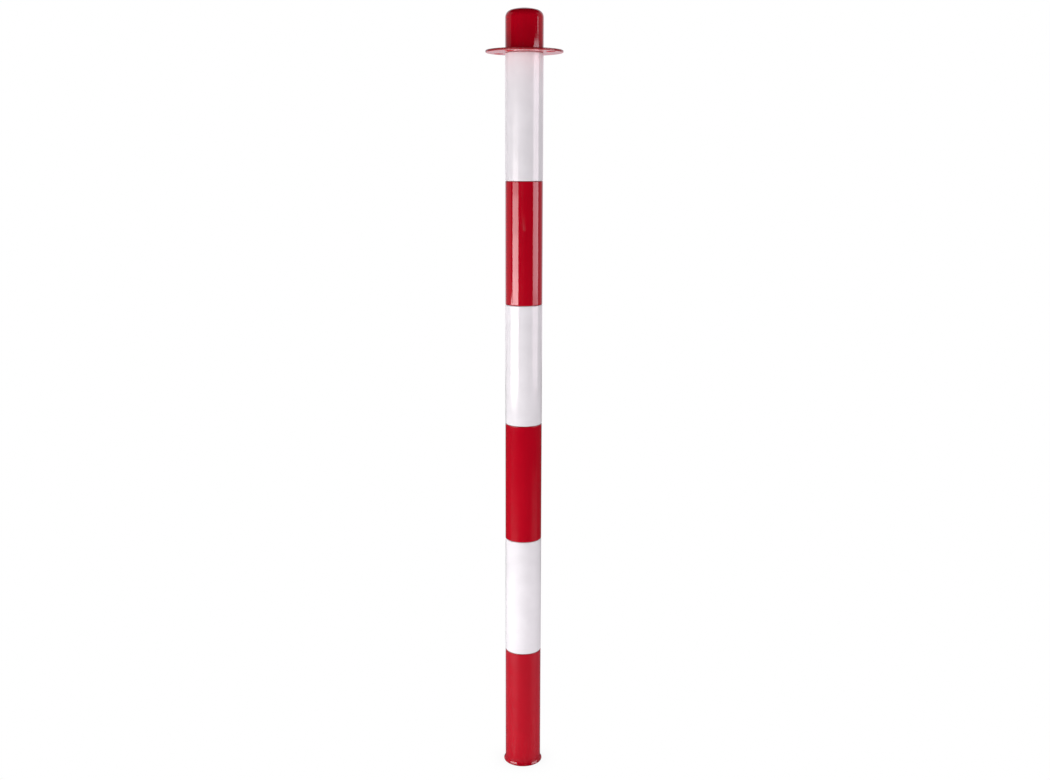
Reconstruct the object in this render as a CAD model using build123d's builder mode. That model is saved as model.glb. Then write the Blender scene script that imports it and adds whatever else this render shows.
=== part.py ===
"""Red and white plastic chain post, sold in pieces that push together.

Six tube sections, white and red in turn, are stacked on internal sleeve couplers, and
a hat-shaped cap closes the top. Chain hooks go through the eyes in the cap's brim. The
lip at the foot keeps a base on the post. The post stands on Z = 0 with its axis on Z.
"""

import os
from math import sqrt

from build123d import *

# Driving dimensions, in millimetres and degrees.

# Tube sections
tube_radius = 20.0
tube_wall = 1.8
section_length = 131.6
foot_length = 136.0
end_rounding = 1.0
bore_chamfer = 0.6

# Lip around the lower end of the foot section
lip_radius = 21.7
lip_edge_height = 1.2
lip_edge_rounding = 0.8
lip_flare_top = 5.6

# Couplers, pushed half their length into the section below
coupler_length = 56.0
coupler_wall = 1.8
barrel_gap = 0.45
press_gap = 0.01
slide_gap = 0.08
lead_in_length = 3.0
lead_in_depth = 0.9
rib_count = 8
rib_width = 2.0
rib_root = 0.5
stop_height = 0.5

# Cap
cap_height = 45.0
cap_wall = 2.0
dome_radius = 50.0
shoulder_rounding = 8.0
brim_radius = 40.75
brim_thickness = 2.4
brim_edge_rounding = 0.8
brim_root_rounding = 1.0
eye_count = 4
eye_radius = 4.75
eye_circle_radius = 31.25
eye_start_angle = -29.5
eye_edge_rounding = 0.7

# Worked out from the above
bore_radius = tube_radius - tube_wall
barrel_radius = bore_radius - barrel_gap
coupler_half = coupler_length / 2


def save(builder, name):
    """Label the finished piece and write it to a STEP file of the same name."""
    builder.part.label = name
    export_step(builder.part, f"parts/{name}.step")


def corners_at(profile, radius):
    """The corners of a half-section that lie at one radius, lowest first."""
    nearby = profile.vertices().filter_by_position(Axis.X, radius - 0.01, radius + 0.01)
    return nearby.sort_by(Axis.Y)


def make_tube(bottom):
    """A plain tube section standing on the given height, open at both ends."""
    with BuildPart() as tube:
        with BuildSketch(Plane.XY.offset(bottom)):
            Circle(tube_radius)
            Circle(bore_radius, mode=Mode.SUBTRACT)
        extrude(amount=section_length)
        inner_rims = tube.edges().filter_by(GeomType.CIRCLE).group_by(SortBy.RADIUS)[0]
        chamfer(inner_rims, length=bore_chamfer)
        outer_rims = tube.edges().filter_by(GeomType.CIRCLE).group_by(SortBy.RADIUS)[-1]
        fillet(outer_rims, radius=end_rounding)
    return tube


def make_foot_tube():
    """The bottom section: a tube whose lower end flares into a rounded lip."""
    with BuildPart() as foot:
        with BuildSketch(Plane.XZ) as profile:
            with BuildLine():
                Polyline(
                    (tube_radius, lip_flare_top),
                    (tube_radius, foot_length),
                    (bore_radius, foot_length),
                    (bore_radius, 0),
                    (lip_radius, 0),
                    (lip_radius, lip_edge_height),
                )
                TangentArc(
                    (tube_radius, lip_flare_top),
                    (lip_radius, lip_edge_height),
                    tangent=(0, -1),
                )
            make_face()
            fillet(corners_at(profile, lip_radius), radius=lip_edge_rounding)
            fillet(corners_at(profile, tube_radius)[-1], radius=end_rounding)
            chamfer(corners_at(profile, bore_radius), length=bore_chamfer)
        revolve(axis=Axis.Z)
    return foot


def make_coupler(joint):
    """A ribbed sleeve centred on a joint between two pieces.

    The ribs below the joint are a press fit in the section underneath. Those above it
    slide in the piece on top. A small ridge at the joint rests in the bore's chamfer and
    stops the sleeve from going in too far.
    """
    press_radius = bore_radius - press_gap
    slide_radius = bore_radius - slide_gap
    low_end = joint - coupler_half
    high_end = joint + coupler_half
    with BuildPart() as coupler:
        with BuildSketch(Plane.XY.offset(low_end)):
            Circle(barrel_radius)
            with PolarLocations(barrel_radius, rib_count):
                Rectangle(2 * (barrel_gap + rib_root), rib_width)
            Circle(barrel_radius - coupler_wall, mode=Mode.SUBTRACT)
        extrude(amount=coupler_length)
        # The ribs are turned down to their fits, with a taper at each end to lead them in.
        with BuildSketch(Plane.XZ):
            with BuildLine():
                Polyline(
                    (0, low_end),
                    (press_radius - lead_in_depth, low_end),
                    (press_radius, low_end + lead_in_length),
                    (press_radius, joint),
                    (slide_radius, joint),
                    (slide_radius, high_end - lead_in_length),
                    (slide_radius - lead_in_depth, high_end),
                    (0, high_end),
                    close=True,
                )
            make_face()
        revolve(axis=Axis.Z, mode=Mode.INTERSECT)
        with BuildSketch(Plane.XZ):
            with BuildLine():
                Polyline(
                    (barrel_radius - rib_root, joint - stop_height),
                    (slide_radius, joint - stop_height),
                    (slide_radius + stop_height, joint),
                    (slide_radius, joint + stop_height),
                    (barrel_radius - rib_root, joint + stop_height),
                    close=True,
                )
            make_face()
        revolve(axis=Axis.Z)
    return coupler


def make_cap(joint):
    """The hat-shaped cap: hollow domed crown, thin brim and four chain eyes."""
    top = joint + cap_height
    dome_drop = dome_radius - sqrt(dome_radius**2 - tube_radius**2)
    inner_dome_radius = dome_radius - cap_wall
    inner_drop = inner_dome_radius - sqrt(inner_dome_radius**2 - bore_radius**2)
    with BuildPart() as cap:
        with BuildSketch(Plane.XZ) as profile:
            with BuildLine():
                RadiusArc((0, top), (tube_radius, top - dome_drop), dome_radius)
                Polyline(
                    (tube_radius, top - dome_drop),
                    (tube_radius, joint + brim_thickness),
                    (brim_radius, joint + brim_thickness),
                    (brim_radius, joint),
                    (bore_radius, joint),
                    (bore_radius, top - cap_wall - inner_drop),
                )
                RadiusArc(
                    (bore_radius, top - cap_wall - inner_drop),
                    (0, top - cap_wall),
                    -inner_dome_radius,
                )
                Line((0, top - cap_wall), (0, top))
            make_face()
            brim_edge = profile.vertices().group_by(Axis.X)[-1]
            fillet(brim_edge, radius=brim_edge_rounding)
            fillet(corners_at(profile, tube_radius)[0], radius=brim_root_rounding)
            fillet(corners_at(profile, tube_radius)[-1], radius=shoulder_rounding)
            fillet(corners_at(profile, bore_radius)[-1], radius=shoulder_rounding - cap_wall)
            chamfer(corners_at(profile, bore_radius)[0], length=bore_chamfer)
        revolve(axis=Axis.Z)
        with Locations(Plane.XY.offset(joint + brim_thickness)):
            with PolarLocations(eye_circle_radius, eye_count, start_angle=eye_start_angle):
                Hole(eye_radius, depth=brim_thickness)
        eye_rims = (
            cap.edges()
            .filter_by(GeomType.CIRCLE)
            .filter_by(lambda edge: abs(edge.radius - eye_radius) < 0.01)
        )
        fillet(eye_rims, radius=eye_edge_rounding)
    return cap


# Sections in stacking order, from the foot up.
tube_names = [
    "foot_tube",
    "lower_white_tube",
    "middle_red_tube",
    "middle_white_tube",
    "upper_red_tube",
    "top_white_tube",
]

# The coupler at the top of each section, in the same order.
coupler_names = [
    "foot_coupler",
    "lower_coupler",
    "middle_coupler",
    "upper_coupler",
    "top_coupler",
    "cap_coupler",
]

os.makedirs("parts", exist_ok=True)

save(make_foot_tube(), tube_names[0])
for index, name in enumerate(tube_names[1:]):
    save(make_tube(foot_length + index * section_length), name)

for index, name in enumerate(coupler_names):
    save(make_coupler(foot_length + index * section_length), name)

brim_height = foot_length + (len(tube_names) - 1) * section_length
save(make_cap(brim_height), "cap")
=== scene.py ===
import math

import bpy
from mathutils import Matrix, Vector


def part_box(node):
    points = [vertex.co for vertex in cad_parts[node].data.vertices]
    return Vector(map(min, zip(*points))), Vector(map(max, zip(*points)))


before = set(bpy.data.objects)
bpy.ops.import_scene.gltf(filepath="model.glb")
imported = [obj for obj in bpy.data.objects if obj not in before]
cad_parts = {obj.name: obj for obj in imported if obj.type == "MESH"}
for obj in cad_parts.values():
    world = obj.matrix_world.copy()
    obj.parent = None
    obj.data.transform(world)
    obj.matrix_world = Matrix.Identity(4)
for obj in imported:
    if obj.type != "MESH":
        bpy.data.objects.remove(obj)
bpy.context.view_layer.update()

# Places and sizes are in metres, and angles in degrees. The post stands on the floor at the
# origin, and the camera looks at it along +Y. Colours are linear red, green and blue.

# Camera, with its sensor and lens in millimetres
camera_distance = 1.301
camera_height = 0.686
camera_pitch = -10.87
camera_yaw = -0.065
camera_roll = 0.14
clip_start = 0.05
clip_end = 50.0
sensor_width = 36.0
lens = 41.37

# Tints of the light
white_tint = (1.0, 1.0, 1.0)
fill_tint = (1.0, 0.95, 0.99)
left_tint = (1.0, 0.90, 0.92)
right_tint = (1.0, 0.85, 0.93)
wall_tint = (1.05, 0.96, 1.05)
room_tint = (1.0, 0.97, 0.99)
floor_tint = (1.0, 0.95, 1.0)

# Softboxes, which the post only reflects. Directions are measured about the post, from the
# camera towards the right. Each softbox is a stack of bands, from the bottom up, given as
# the height of the band's top and its radiance.
left_direction = -60.5
left_distance = 1.2
left_width = 1.15
left_bottom = 0.18
left_bands = [(0.39, 10.5)]
upper_left_direction = -54.5
upper_left_width = 0.85
upper_left_bands = [(0.45, 10.5), (0.53, 9.0), (0.61, 7.0), (0.69, 4.4), (0.80, 1.8)]
right_direction = 77.0
right_distance = 1.5
right_width = 1.08
right_bottom = 0.155
right_bands = [(0.38, 3.4), (0.944, 4.8)]
strip_direction = 87.5
strip_width = 0.20
strip_bands = [(1.0, 2.6)]

# Soft lights, which give no reflection: direction, distance, height, size, level and tint
fills = {
    "left fill": (-70.0, 0.8, 0.05, 0.5, 0.82, white_tint),
    "right fill": (right_direction, right_distance, 0.9, 0.9, 0.22, fill_tint),
    "front fill": (-18.0, 1.6, 0.75, 0.9, 0.34, fill_tint),
}

# Soft light from the floor for the cap alone
bounce_height = 0.001
bounce_size = 1.6
bounce_glow = 1.4

# White walls behind the post and at its sides
backdrop_distance = 2.5
backdrop_width = 5.0
backdrop_height = 3.0
backdrop_glow = 0.66
side_wall_width = 2.6
side_wall_glow = 0.30

# Soft light all round. It fades towards the ceiling, between two heights of a unit direction.
room_glow = 0.56
ceiling_glow = 0.09
room_top = 0.2
ceiling_start = 0.6

# Floor, with a round patch under the post that is a painted pool of light: a paler grey in what
# gloss reflects, and a stronger glow
floor_reach = 8.0
floor_glow = 0.60
floor_grey = (0.03, 0.03, 0.03)
lit_patch_reach = 0.45
lit_patch_glow = 1.40
lit_patch_grey = (0.46, 0.41, 0.47)
floor_roughness = 0.5
reflection_fade = 1.6
glow_fade = 2.5

# Shadow of the foot on the floor, from the edge of the lip outwards
foot_edge = 0.022
reflection_shadow_end = 0.032
glow_shadow_end = 0.04
glow_in_shadow = 0.2
contact_distance = 0.03
contact_openness = 0.3
contact_shade = 0.9

# Colours of the plastics
tube_red = (0.46, 0.0015, 0.012)
cap_red = (0.42, 0.001, 0.010)
tube_white = (0.85, 0.84, 0.85)
coupler_grey = (0.035, 0.035, 0.038)

# Glossy finishes. Edge shading is how far the colour darkens close to an edge, which is painted
# shade at the ends of the pieces and at the brim's rim. Stretch is how many times longer the
# lines and waves are along the post than across it. Relief is the strength of the lines and the
# grain.
cap_finish = {
    "edge_shading": 0.9,
    "roughness": 0.04,
    "stretch": 1.0,
    "wave_depth": 0.000004,
    "relief": 0.25,
}
white_finish = {
    "edge_shading": 0.1,
    "roughness": 0.08,
    "stretch": 60.0,
    "wave_depth": 0.00003,
    "relief": 0.7,
}
red_finish = {
    "edge_shading": 1.0,
    "roughness": 0.07,
    "stretch": 60.0,
    "wave_depth": 0.00003,
    "relief": 0.7,
}

# Detail of the glossy plastic. A scale is about the number of features in a metre, and
# levels are the values of a noise where something starts and where it is full.
noise_levels = (0.3, 0.7)
line_scale = 420
line_depth = 0.000008
wave_scale = 90
grain_scale = 1500
grain_depth = 0.0000015
mottle_scale = 60
mottle_share = 0.4
patch_scale = 11
patch_roughness = 0.015
scratch_scale = 75
scratch_width = 0.006
scratch_patch_scale = 26
scratch_patch_levels = (0.55, 0.68)
scratch_paleness = 0.06
chip_scale = 420
chip_levels = (0.5, 0.6)
chip_paleness = 0.1
# Width of the band along each edge that gets painted shade and chips
edge_shade_and_wear_width = 0.0012
mark_roughness = 0.2
roughness_swing = 0.15
plastic_ior = 1.5

# Tones of a glossy colour, as what it is multiplied by and what is added
deep_tone = (0.90, 0.0)
# The edge tone is painted shade, darker at the ends of the pieces and at the brim's rim
edge_shade_tone = (0.50, 0.015)
pale_tone = (0.75, 0.25)

# Detail of the satin plastic
satin_grain_scale = 2200
satin_grain_depth = 0.00001
satin_patch_scale = 30
satin_roughness = (0.38, 0.5)
satin_deep = 0.8
satin_light = 1.3


def around(direction, distance, height):
    """The point at a direction and distance from the post, and at a height."""
    turn = math.radians(direction)
    return Vector((math.sin(turn) * distance, -math.cos(turn) * distance, height))


def tone(colour, factor=1.0, lift=0.0):
    """A colour made darker or lighter, with the alpha that a colour socket takes."""
    return (*[part * factor + lift for part in colour], 1.0)


def add_camera():
    """The camera stands in front of the post, a little below its top, and looks down."""
    data = bpy.data.cameras.new("camera")
    data.sensor_width = sensor_width
    data.lens = lens
    data.clip_start = clip_start
    data.clip_end = clip_end
    camera = bpy.data.objects.new("camera", data)
    turn = Matrix.Rotation(math.radians(camera_yaw), 4, "Z")
    turn = turn @ Matrix.Rotation(math.radians(90 + camera_pitch), 4, "X")
    turn = turn @ Matrix.Rotation(math.radians(camera_roll), 4, "Z")
    camera.matrix_world = Matrix.Translation((0, -camera_distance, camera_height)) @ turn
    bpy.context.scene.collection.objects.link(camera)
    bpy.context.scene.camera = camera


def add_light(name, place, aim, width, height, radiance, tint, gives="both"):
    """A rectangular light that the camera doesn't see.

    It gives both its soft light and its reflection, or only one of the two.
    """
    data = bpy.data.lights.new(name, "AREA")
    data.shape = "RECTANGLE"
    data.size = width
    data.size_y = height
    data.energy = radiance * math.pi * width * height
    data.color = tint
    light = bpy.data.objects.new(name, data)
    light.location = place
    light.rotation_mode = "QUATERNION"
    light.rotation_quaternion = (aim - place).to_track_quat("-Z", "Y")
    light.visible_camera = False
    light.visible_diffuse = gives != "reflection"
    light.visible_glossy = gives != "soft light"
    bpy.context.scene.collection.objects.link(light)
    return light


def add_softbox(name, direction, distance, width, bottom, bands, tint):
    """A softbox that is only reflected, as a stack of bands."""
    for number, (top, radiance) in enumerate(bands, 1):
        middle = (bottom + top) / 2
        place = around(direction, distance, middle)
        aim = Vector((0, 0, middle))
        height = top - bottom
        add_light(f"{name} {number}", place, aim, width, height, radiance, tint, "reflection")
        bottom = top


def add_fill(name, direction, distance, height, size, level, tint):
    """Soft light without a reflection, as strong at the post as the level says."""
    place = around(direction, distance, height)
    aim = Vector((0, 0, height))
    radiance = level * math.pi * distance**2 / size**2
    add_light(name, place, aim, size, size, radiance, tint, "soft light")


def add_walls():
    """The backdrop, and a wall at each end of it that comes towards the camera."""
    middle = backdrop_height / 2
    place = Vector((0, backdrop_distance, middle))
    aim = Vector((0, 0, middle))
    add_light("backdrop", place, aim, backdrop_width, backdrop_height, backdrop_glow, wall_tint)
    for side in (-1, 1):
        name = f"side wall {side}"
        place = Vector((side * backdrop_width / 2, backdrop_distance - side_wall_width / 2, middle))
        aim = Vector((0, place.y, middle))
        add_light(name, place, aim, side_wall_width, backdrop_height, side_wall_glow, wall_tint)


def add_bounce():
    """Soft light off the floor that only the cap gets, for the underside of its brim."""
    place = Vector((0, 0, bounce_height))
    aim = Vector((0, 0, 1))
    size = bounce_size
    light = add_light("bounce", place, aim, size, size, bounce_glow, white_tint, "soft light")
    lit = bpy.data.collections.new("lit by the bounce")
    lit.objects.link(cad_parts["cap"])
    light.light_linking.receiver_collection = lit


def add_lights():
    add_softbox(
        "left softbox",
        left_direction,
        left_distance,
        left_width,
        left_bottom,
        left_bands,
        left_tint,
    )
    add_softbox(
        "upper left softbox",
        upper_left_direction,
        left_distance,
        upper_left_width,
        left_bands[-1][0],
        upper_left_bands,
        left_tint,
    )
    add_softbox(
        "right softbox",
        right_direction,
        right_distance,
        right_width,
        right_bottom,
        right_bands,
        right_tint,
    )
    add_softbox(
        "right strip",
        strip_direction,
        right_distance,
        strip_width,
        right_bands[-1][0],
        strip_bands,
        right_tint,
    )
    for name, fill in fills.items():
        add_fill(name, *fill)
    add_walls()
    add_bounce()


class Shader:
    """A node tree, with short ways to add nodes and to join them."""

    def __init__(self, owner):
        owner.use_nodes = True
        self.tree = owner.node_tree
        self.tree.nodes.clear()

    def add(self, kind, inputs, **settings):
        """A node. Each input is either a value or the output that it is joined to."""
        node = self.tree.nodes.new(kind)
        for name, value in settings.items():
            setattr(node, name, value)
        for name, value in inputs.items():
            if isinstance(value, bpy.types.NodeSocket):
                self.tree.links.new(value, node.inputs[name])
            else:
                node.inputs[name].default_value = value
        return node

    def maths(self, operation, first, second=0.0):
        return self.add("ShaderNodeMath", {0: first, 1: second}, operation=operation).outputs[0]

    def ramp(self, value, low, high, at_low=0.0, at_high=1.0):
        """A value carried smoothly from one range to another, and held at its ends."""
        inputs = {
            "Value": value,
            "From Min": low,
            "From Max": high,
            "To Min": at_low,
            "To Max": at_high,
        }
        return self.add("ShaderNodeMapRange", inputs, interpolation_type="SMOOTHSTEP").outputs[0]

    def noise(self, place, scale, detail=2.0):
        inputs = {"Vector": place, "Scale": scale, "Detail": detail}
        return self.add("ShaderNodeTexNoise", inputs).outputs[0]

    def spread(self, noise, least=0.0, most=1.0):
        """A noise spread over a range, from the levels that most of it lies between."""
        return self.ramp(noise, *noise_levels, least, most)

    def blend(self, amount, first, second):
        """A colour between two others."""
        inputs = {0: amount, 6: first, 7: second}
        return self.add("ShaderNodeMix", inputs, data_type="RGBA").outputs[2]

    def bump(self, height, distance, normal=None):
        """Relief of one size, on top of the relief that is already there."""
        inputs = {"Height": height, "Distance": distance}
        if normal:
            inputs["Normal"] = normal
        return self.add("ShaderNodeBump", inputs).outputs[0]

    def either(self, choice, first, second):
        """The second shader where the choice is 1, and the first where it is 0."""
        return self.add("ShaderNodeMixShader", {0: choice, 1: first, 2: second}).outputs[0]


def add_world():
    """White to the camera. It gives soft light all round, less from above, and no reflection."""
    world = bpy.data.worlds.new("studio")
    bpy.context.scene.world = world
    world.cycles_visibility.glossy = False
    shader = Shader(world)
    path = shader.add("ShaderNodeLightPath", {})
    seen = shader.add("ShaderNodeBackground", {"Color": tone(white_tint), "Strength": 1.0})
    direction = shader.add("ShaderNodeTexCoord", {}).outputs["Generated"]
    up = shader.add("ShaderNodeSeparateXYZ", {0: direction}).outputs["Z"]
    glow = shader.ramp(up, room_top, ceiling_start, room_glow, ceiling_glow)
    room = shader.add("ShaderNodeBackground", {"Color": tone(room_tint), "Strength": glow})
    surface = shader.either(path.outputs["Is Camera Ray"], room.outputs[0], seen.outputs[0])
    shader.add("ShaderNodeOutputWorld", {"Surface": surface})


def floor_material():
    """White to the camera, grey to the gloss of the post, and clear from below."""
    material = bpy.data.materials.new("floor")
    shader = Shader(material)
    path = shader.add("ShaderNodeLightPath", {})
    place = shader.add("ShaderNodeTexCoord", {}).outputs["Object"]
    away = shader.add("ShaderNodeVectorMath", {0: place}, operation="LENGTH").outputs["Value"]

    # What gloss reflects: a painted pool of light, grey on a dark floor, and a painted shadow beside
    # the foot.
    lit_patch = shader.ramp(away, lit_patch_reach, lit_patch_reach * reflection_fade, 1.0, 0.0)
    past_foot = shader.ramp(away, foot_edge, reflection_shadow_end)
    lit_patch = shader.maths("MULTIPLY", lit_patch, past_foot)
    colour = shader.blend(lit_patch, tone(floor_grey), tone(lit_patch_grey))
    reflected = shader.add(
        "ShaderNodeBsdfPrincipled",
        {"Base Color": colour, "Roughness": floor_roughness},
    )

    # The soft light that it gives off: more from the painted pool of light, and less beside the
    # foot.
    glow = shader.ramp(away, lit_patch_reach, lit_patch_reach * glow_fade, lit_patch_glow, floor_glow)
    unshaded = shader.ramp(away, foot_edge, glow_shadow_end, glow_in_shadow, 1.0)
    glow = shader.maths("MULTIPLY", glow, unshaded)
    bounce = shader.add("ShaderNodeEmission", {"Color": tone(floor_tint), "Strength": glow})

    # What the camera sees: white, with a faint shadow where the foot stands.
    contact = shader.add("ShaderNodeAmbientOcclusion", {"Distance": contact_distance})
    openness = contact.outputs["AO"]
    shade = shader.ramp(openness, contact_openness, 1.0, contact_shade, 1.0)
    seen = shader.add("ShaderNodeEmission", {"Strength": shade})

    soft = path.outputs["Is Diffuse Ray"]
    surface = shader.either(soft, reflected.outputs[0], bounce.outputs[0])
    surface = shader.either(path.outputs["Is Camera Ray"], surface, seen.outputs[0])
    below = shader.add("ShaderNodeNewGeometry", {}).outputs["Backfacing"]
    clear = shader.add("ShaderNodeBsdfTransparent", {}).outputs[0]
    surface = shader.either(below, surface, clear)
    shader.add("ShaderNodeOutputMaterial", {"Surface": surface})
    return material


def add_floor():
    mesh = bpy.data.meshes.new("floor")
    corners = [(-1, -1), (1, -1), (1, 1), (-1, 1)]
    mesh.from_pydata([(x * floor_reach, y * floor_reach, 0) for x, y in corners], [], [(0, 1, 2, 3)])
    mesh.materials.append(floor_material())
    floor = bpy.data.objects.new("floor", mesh)
    bpy.context.scene.collection.objects.link(floor)


def end_distance(low, high):
    """How far a point is from the nearer end of a piece that stands between two heights."""

    def distance(shader, place):
        height = shader.add("ShaderNodeSeparateXYZ", {0: place}).outputs["Z"]
        above = shader.maths("SUBTRACT", height, low)
        below = shader.maths("SUBTRACT", high, height)
        return shader.maths("MINIMUM", above, below)

    return distance


def rim_distance(radius):
    """How far in a point is from a rim around the post's axis."""

    def distance(shader, place):
        flat = shader.add("ShaderNodeVectorMath", {0: place, 1: (1, 1, 0)}, operation="MULTIPLY")
        length = shader.add("ShaderNodeVectorMath", {0: flat.outputs[0]}, operation="LENGTH")
        return shader.maths("SUBTRACT", radius, length.outputs["Value"])

    return distance


def gloss_plastic(name, colour, edge, edge_shading, roughness, stretch, wave_depth, relief):
    """Glossy plastic with faint lines or waves in it, and edges darkened with painted shade and a
    little chipped.

    Extruded plastic has its lines stretched along the post, and moulded plastic doesn't.
    The edge is a function that gives the distance to the nearest edge, which gets painted shade and
    chips.
    """
    material = bpy.data.materials.new(name)
    shader = Shader(material)
    place = shader.add("ShaderNodeTexCoord", {}).outputs["Object"]
    stretching = {"Vector": place, "Scale": (1, 1, 1 / stretch)}
    drawn = shader.add("ShaderNodeMapping", stretching).outputs[0]
    lines = shader.noise(drawn, line_scale)
    waves = shader.noise(drawn, wave_scale)
    grain = shader.noise(place, grain_scale)
    mottle = shader.noise(place, mottle_scale, 4)
    patches = shader.noise(place, patch_scale)

    # Hairline scratches: thin level lines of a noise, kept in a few patches.
    scratched = shader.ramp(shader.noise(place, scratch_patch_scale), *scratch_patch_levels)
    level = shader.maths("SUBTRACT", shader.noise(place, scratch_scale, 0), 0.5)
    line = shader.ramp(shader.maths("ABSOLUTE", level), 0.0, scratch_width, 1.0, 0.0)
    scratches = shader.maths("MULTIPLY", line, scratched)

    # Close to the edge: painted shade all along, and chipped wear in places.
    edge_shade_and_wear = shader.ramp(edge(shader, place), 0.0, edge_shade_and_wear_width, 1.0, 0.0)
    chipped = shader.ramp(shader.noise(place, chip_scale), *chip_levels)
    chips = shader.maths("MULTIPLY", edge_shade_and_wear, chipped)

    # Colour: uneven, darkened near the edge as painted shade, and a little pale at scratches and
    # chips.
    patchiness = shader.spread(patches, 0, 1 - mottle_share)
    mottling = shader.spread(mottle, 0, mottle_share)
    unevenness = shader.maths("ADD", patchiness, mottling)
    base = shader.blend(unevenness, tone(colour, *deep_tone), tone(colour))
    edge_shade = shader.maths("MULTIPLY", edge_shade_and_wear, edge_shading)
    base = shader.blend(edge_shade, base, tone(colour, *edge_shade_tone))
    pale_scratches = shader.maths("MULTIPLY", scratches, scratch_paleness)
    pale_chips = shader.maths("MULTIPLY", chips, chip_paleness)
    marks = shader.maths("ADD", pale_scratches, pale_chips)
    base = shader.blend(marks, base, tone(colour, *pale_tone))

    # Gloss: uneven along the lines and in patches, and rougher at scratches and chips.
    swing = roughness * roughness_swing
    gloss = shader.spread(lines, roughness - swing, roughness + swing)
    gloss = shader.maths("ADD", gloss, shader.spread(patches, -patch_roughness, patch_roughness))
    marked = shader.maths("ADD", scratches, chips)
    gloss = shader.maths("ADD", gloss, shader.maths("MULTIPLY", marked, mark_roughness))

    normal = shader.bump(waves, wave_depth)
    normal = shader.bump(lines, line_depth * relief, normal)
    normal = shader.bump(grain, grain_depth * relief, normal)
    surface = shader.add(
        "ShaderNodeBsdfPrincipled",
        {"Base Color": base, "Roughness": gloss, "Normal": normal, "IOR": plastic_ior},
    )
    shader.add("ShaderNodeOutputMaterial", {"Surface": surface.outputs[0]})
    return material


def satin_plastic(name, colour):
    """Dark satin plastic with a fine moulded grain and uneven patches."""
    material = bpy.data.materials.new(name)
    shader = Shader(material)
    place = shader.add("ShaderNodeTexCoord", {}).outputs["Object"]
    grain = shader.noise(place, satin_grain_scale)
    patches = shader.noise(place, satin_patch_scale, 3)
    base = shader.blend(shader.spread(patches), tone(colour, satin_deep), tone(colour, satin_light))
    gloss = shader.spread(patches, *satin_roughness)
    normal = shader.bump(grain, satin_grain_depth)
    surface = shader.add(
        "ShaderNodeBsdfPrincipled",
        {"Base Color": base, "Roughness": gloss, "Normal": normal},
    )
    shader.add("ShaderNodeOutputMaterial", {"Surface": surface.outputs[0]})
    return material


def add_materials():
    """Every node stays as it is in the frame, and gets a material of its own."""
    for name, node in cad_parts.items():
        low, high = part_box(name)
        ends = end_distance(low.z, high.z)
        if "coupler" in name:
            material = satin_plastic(name, coupler_grey)
        elif name == "cap":
            material = gloss_plastic(name, cap_red, rim_distance(high.x), **cap_finish)
        elif "white" in name:
            material = gloss_plastic(name, tube_white, ends, **white_finish)
        else:
            material = gloss_plastic(name, tube_red, ends, **red_finish)
        node.data.materials.clear()
        node.data.materials.append(material)


add_camera()
add_world()
add_floor()
add_lights()
add_materials()
bpy.context.scene.view_settings.view_transform = "Standard"
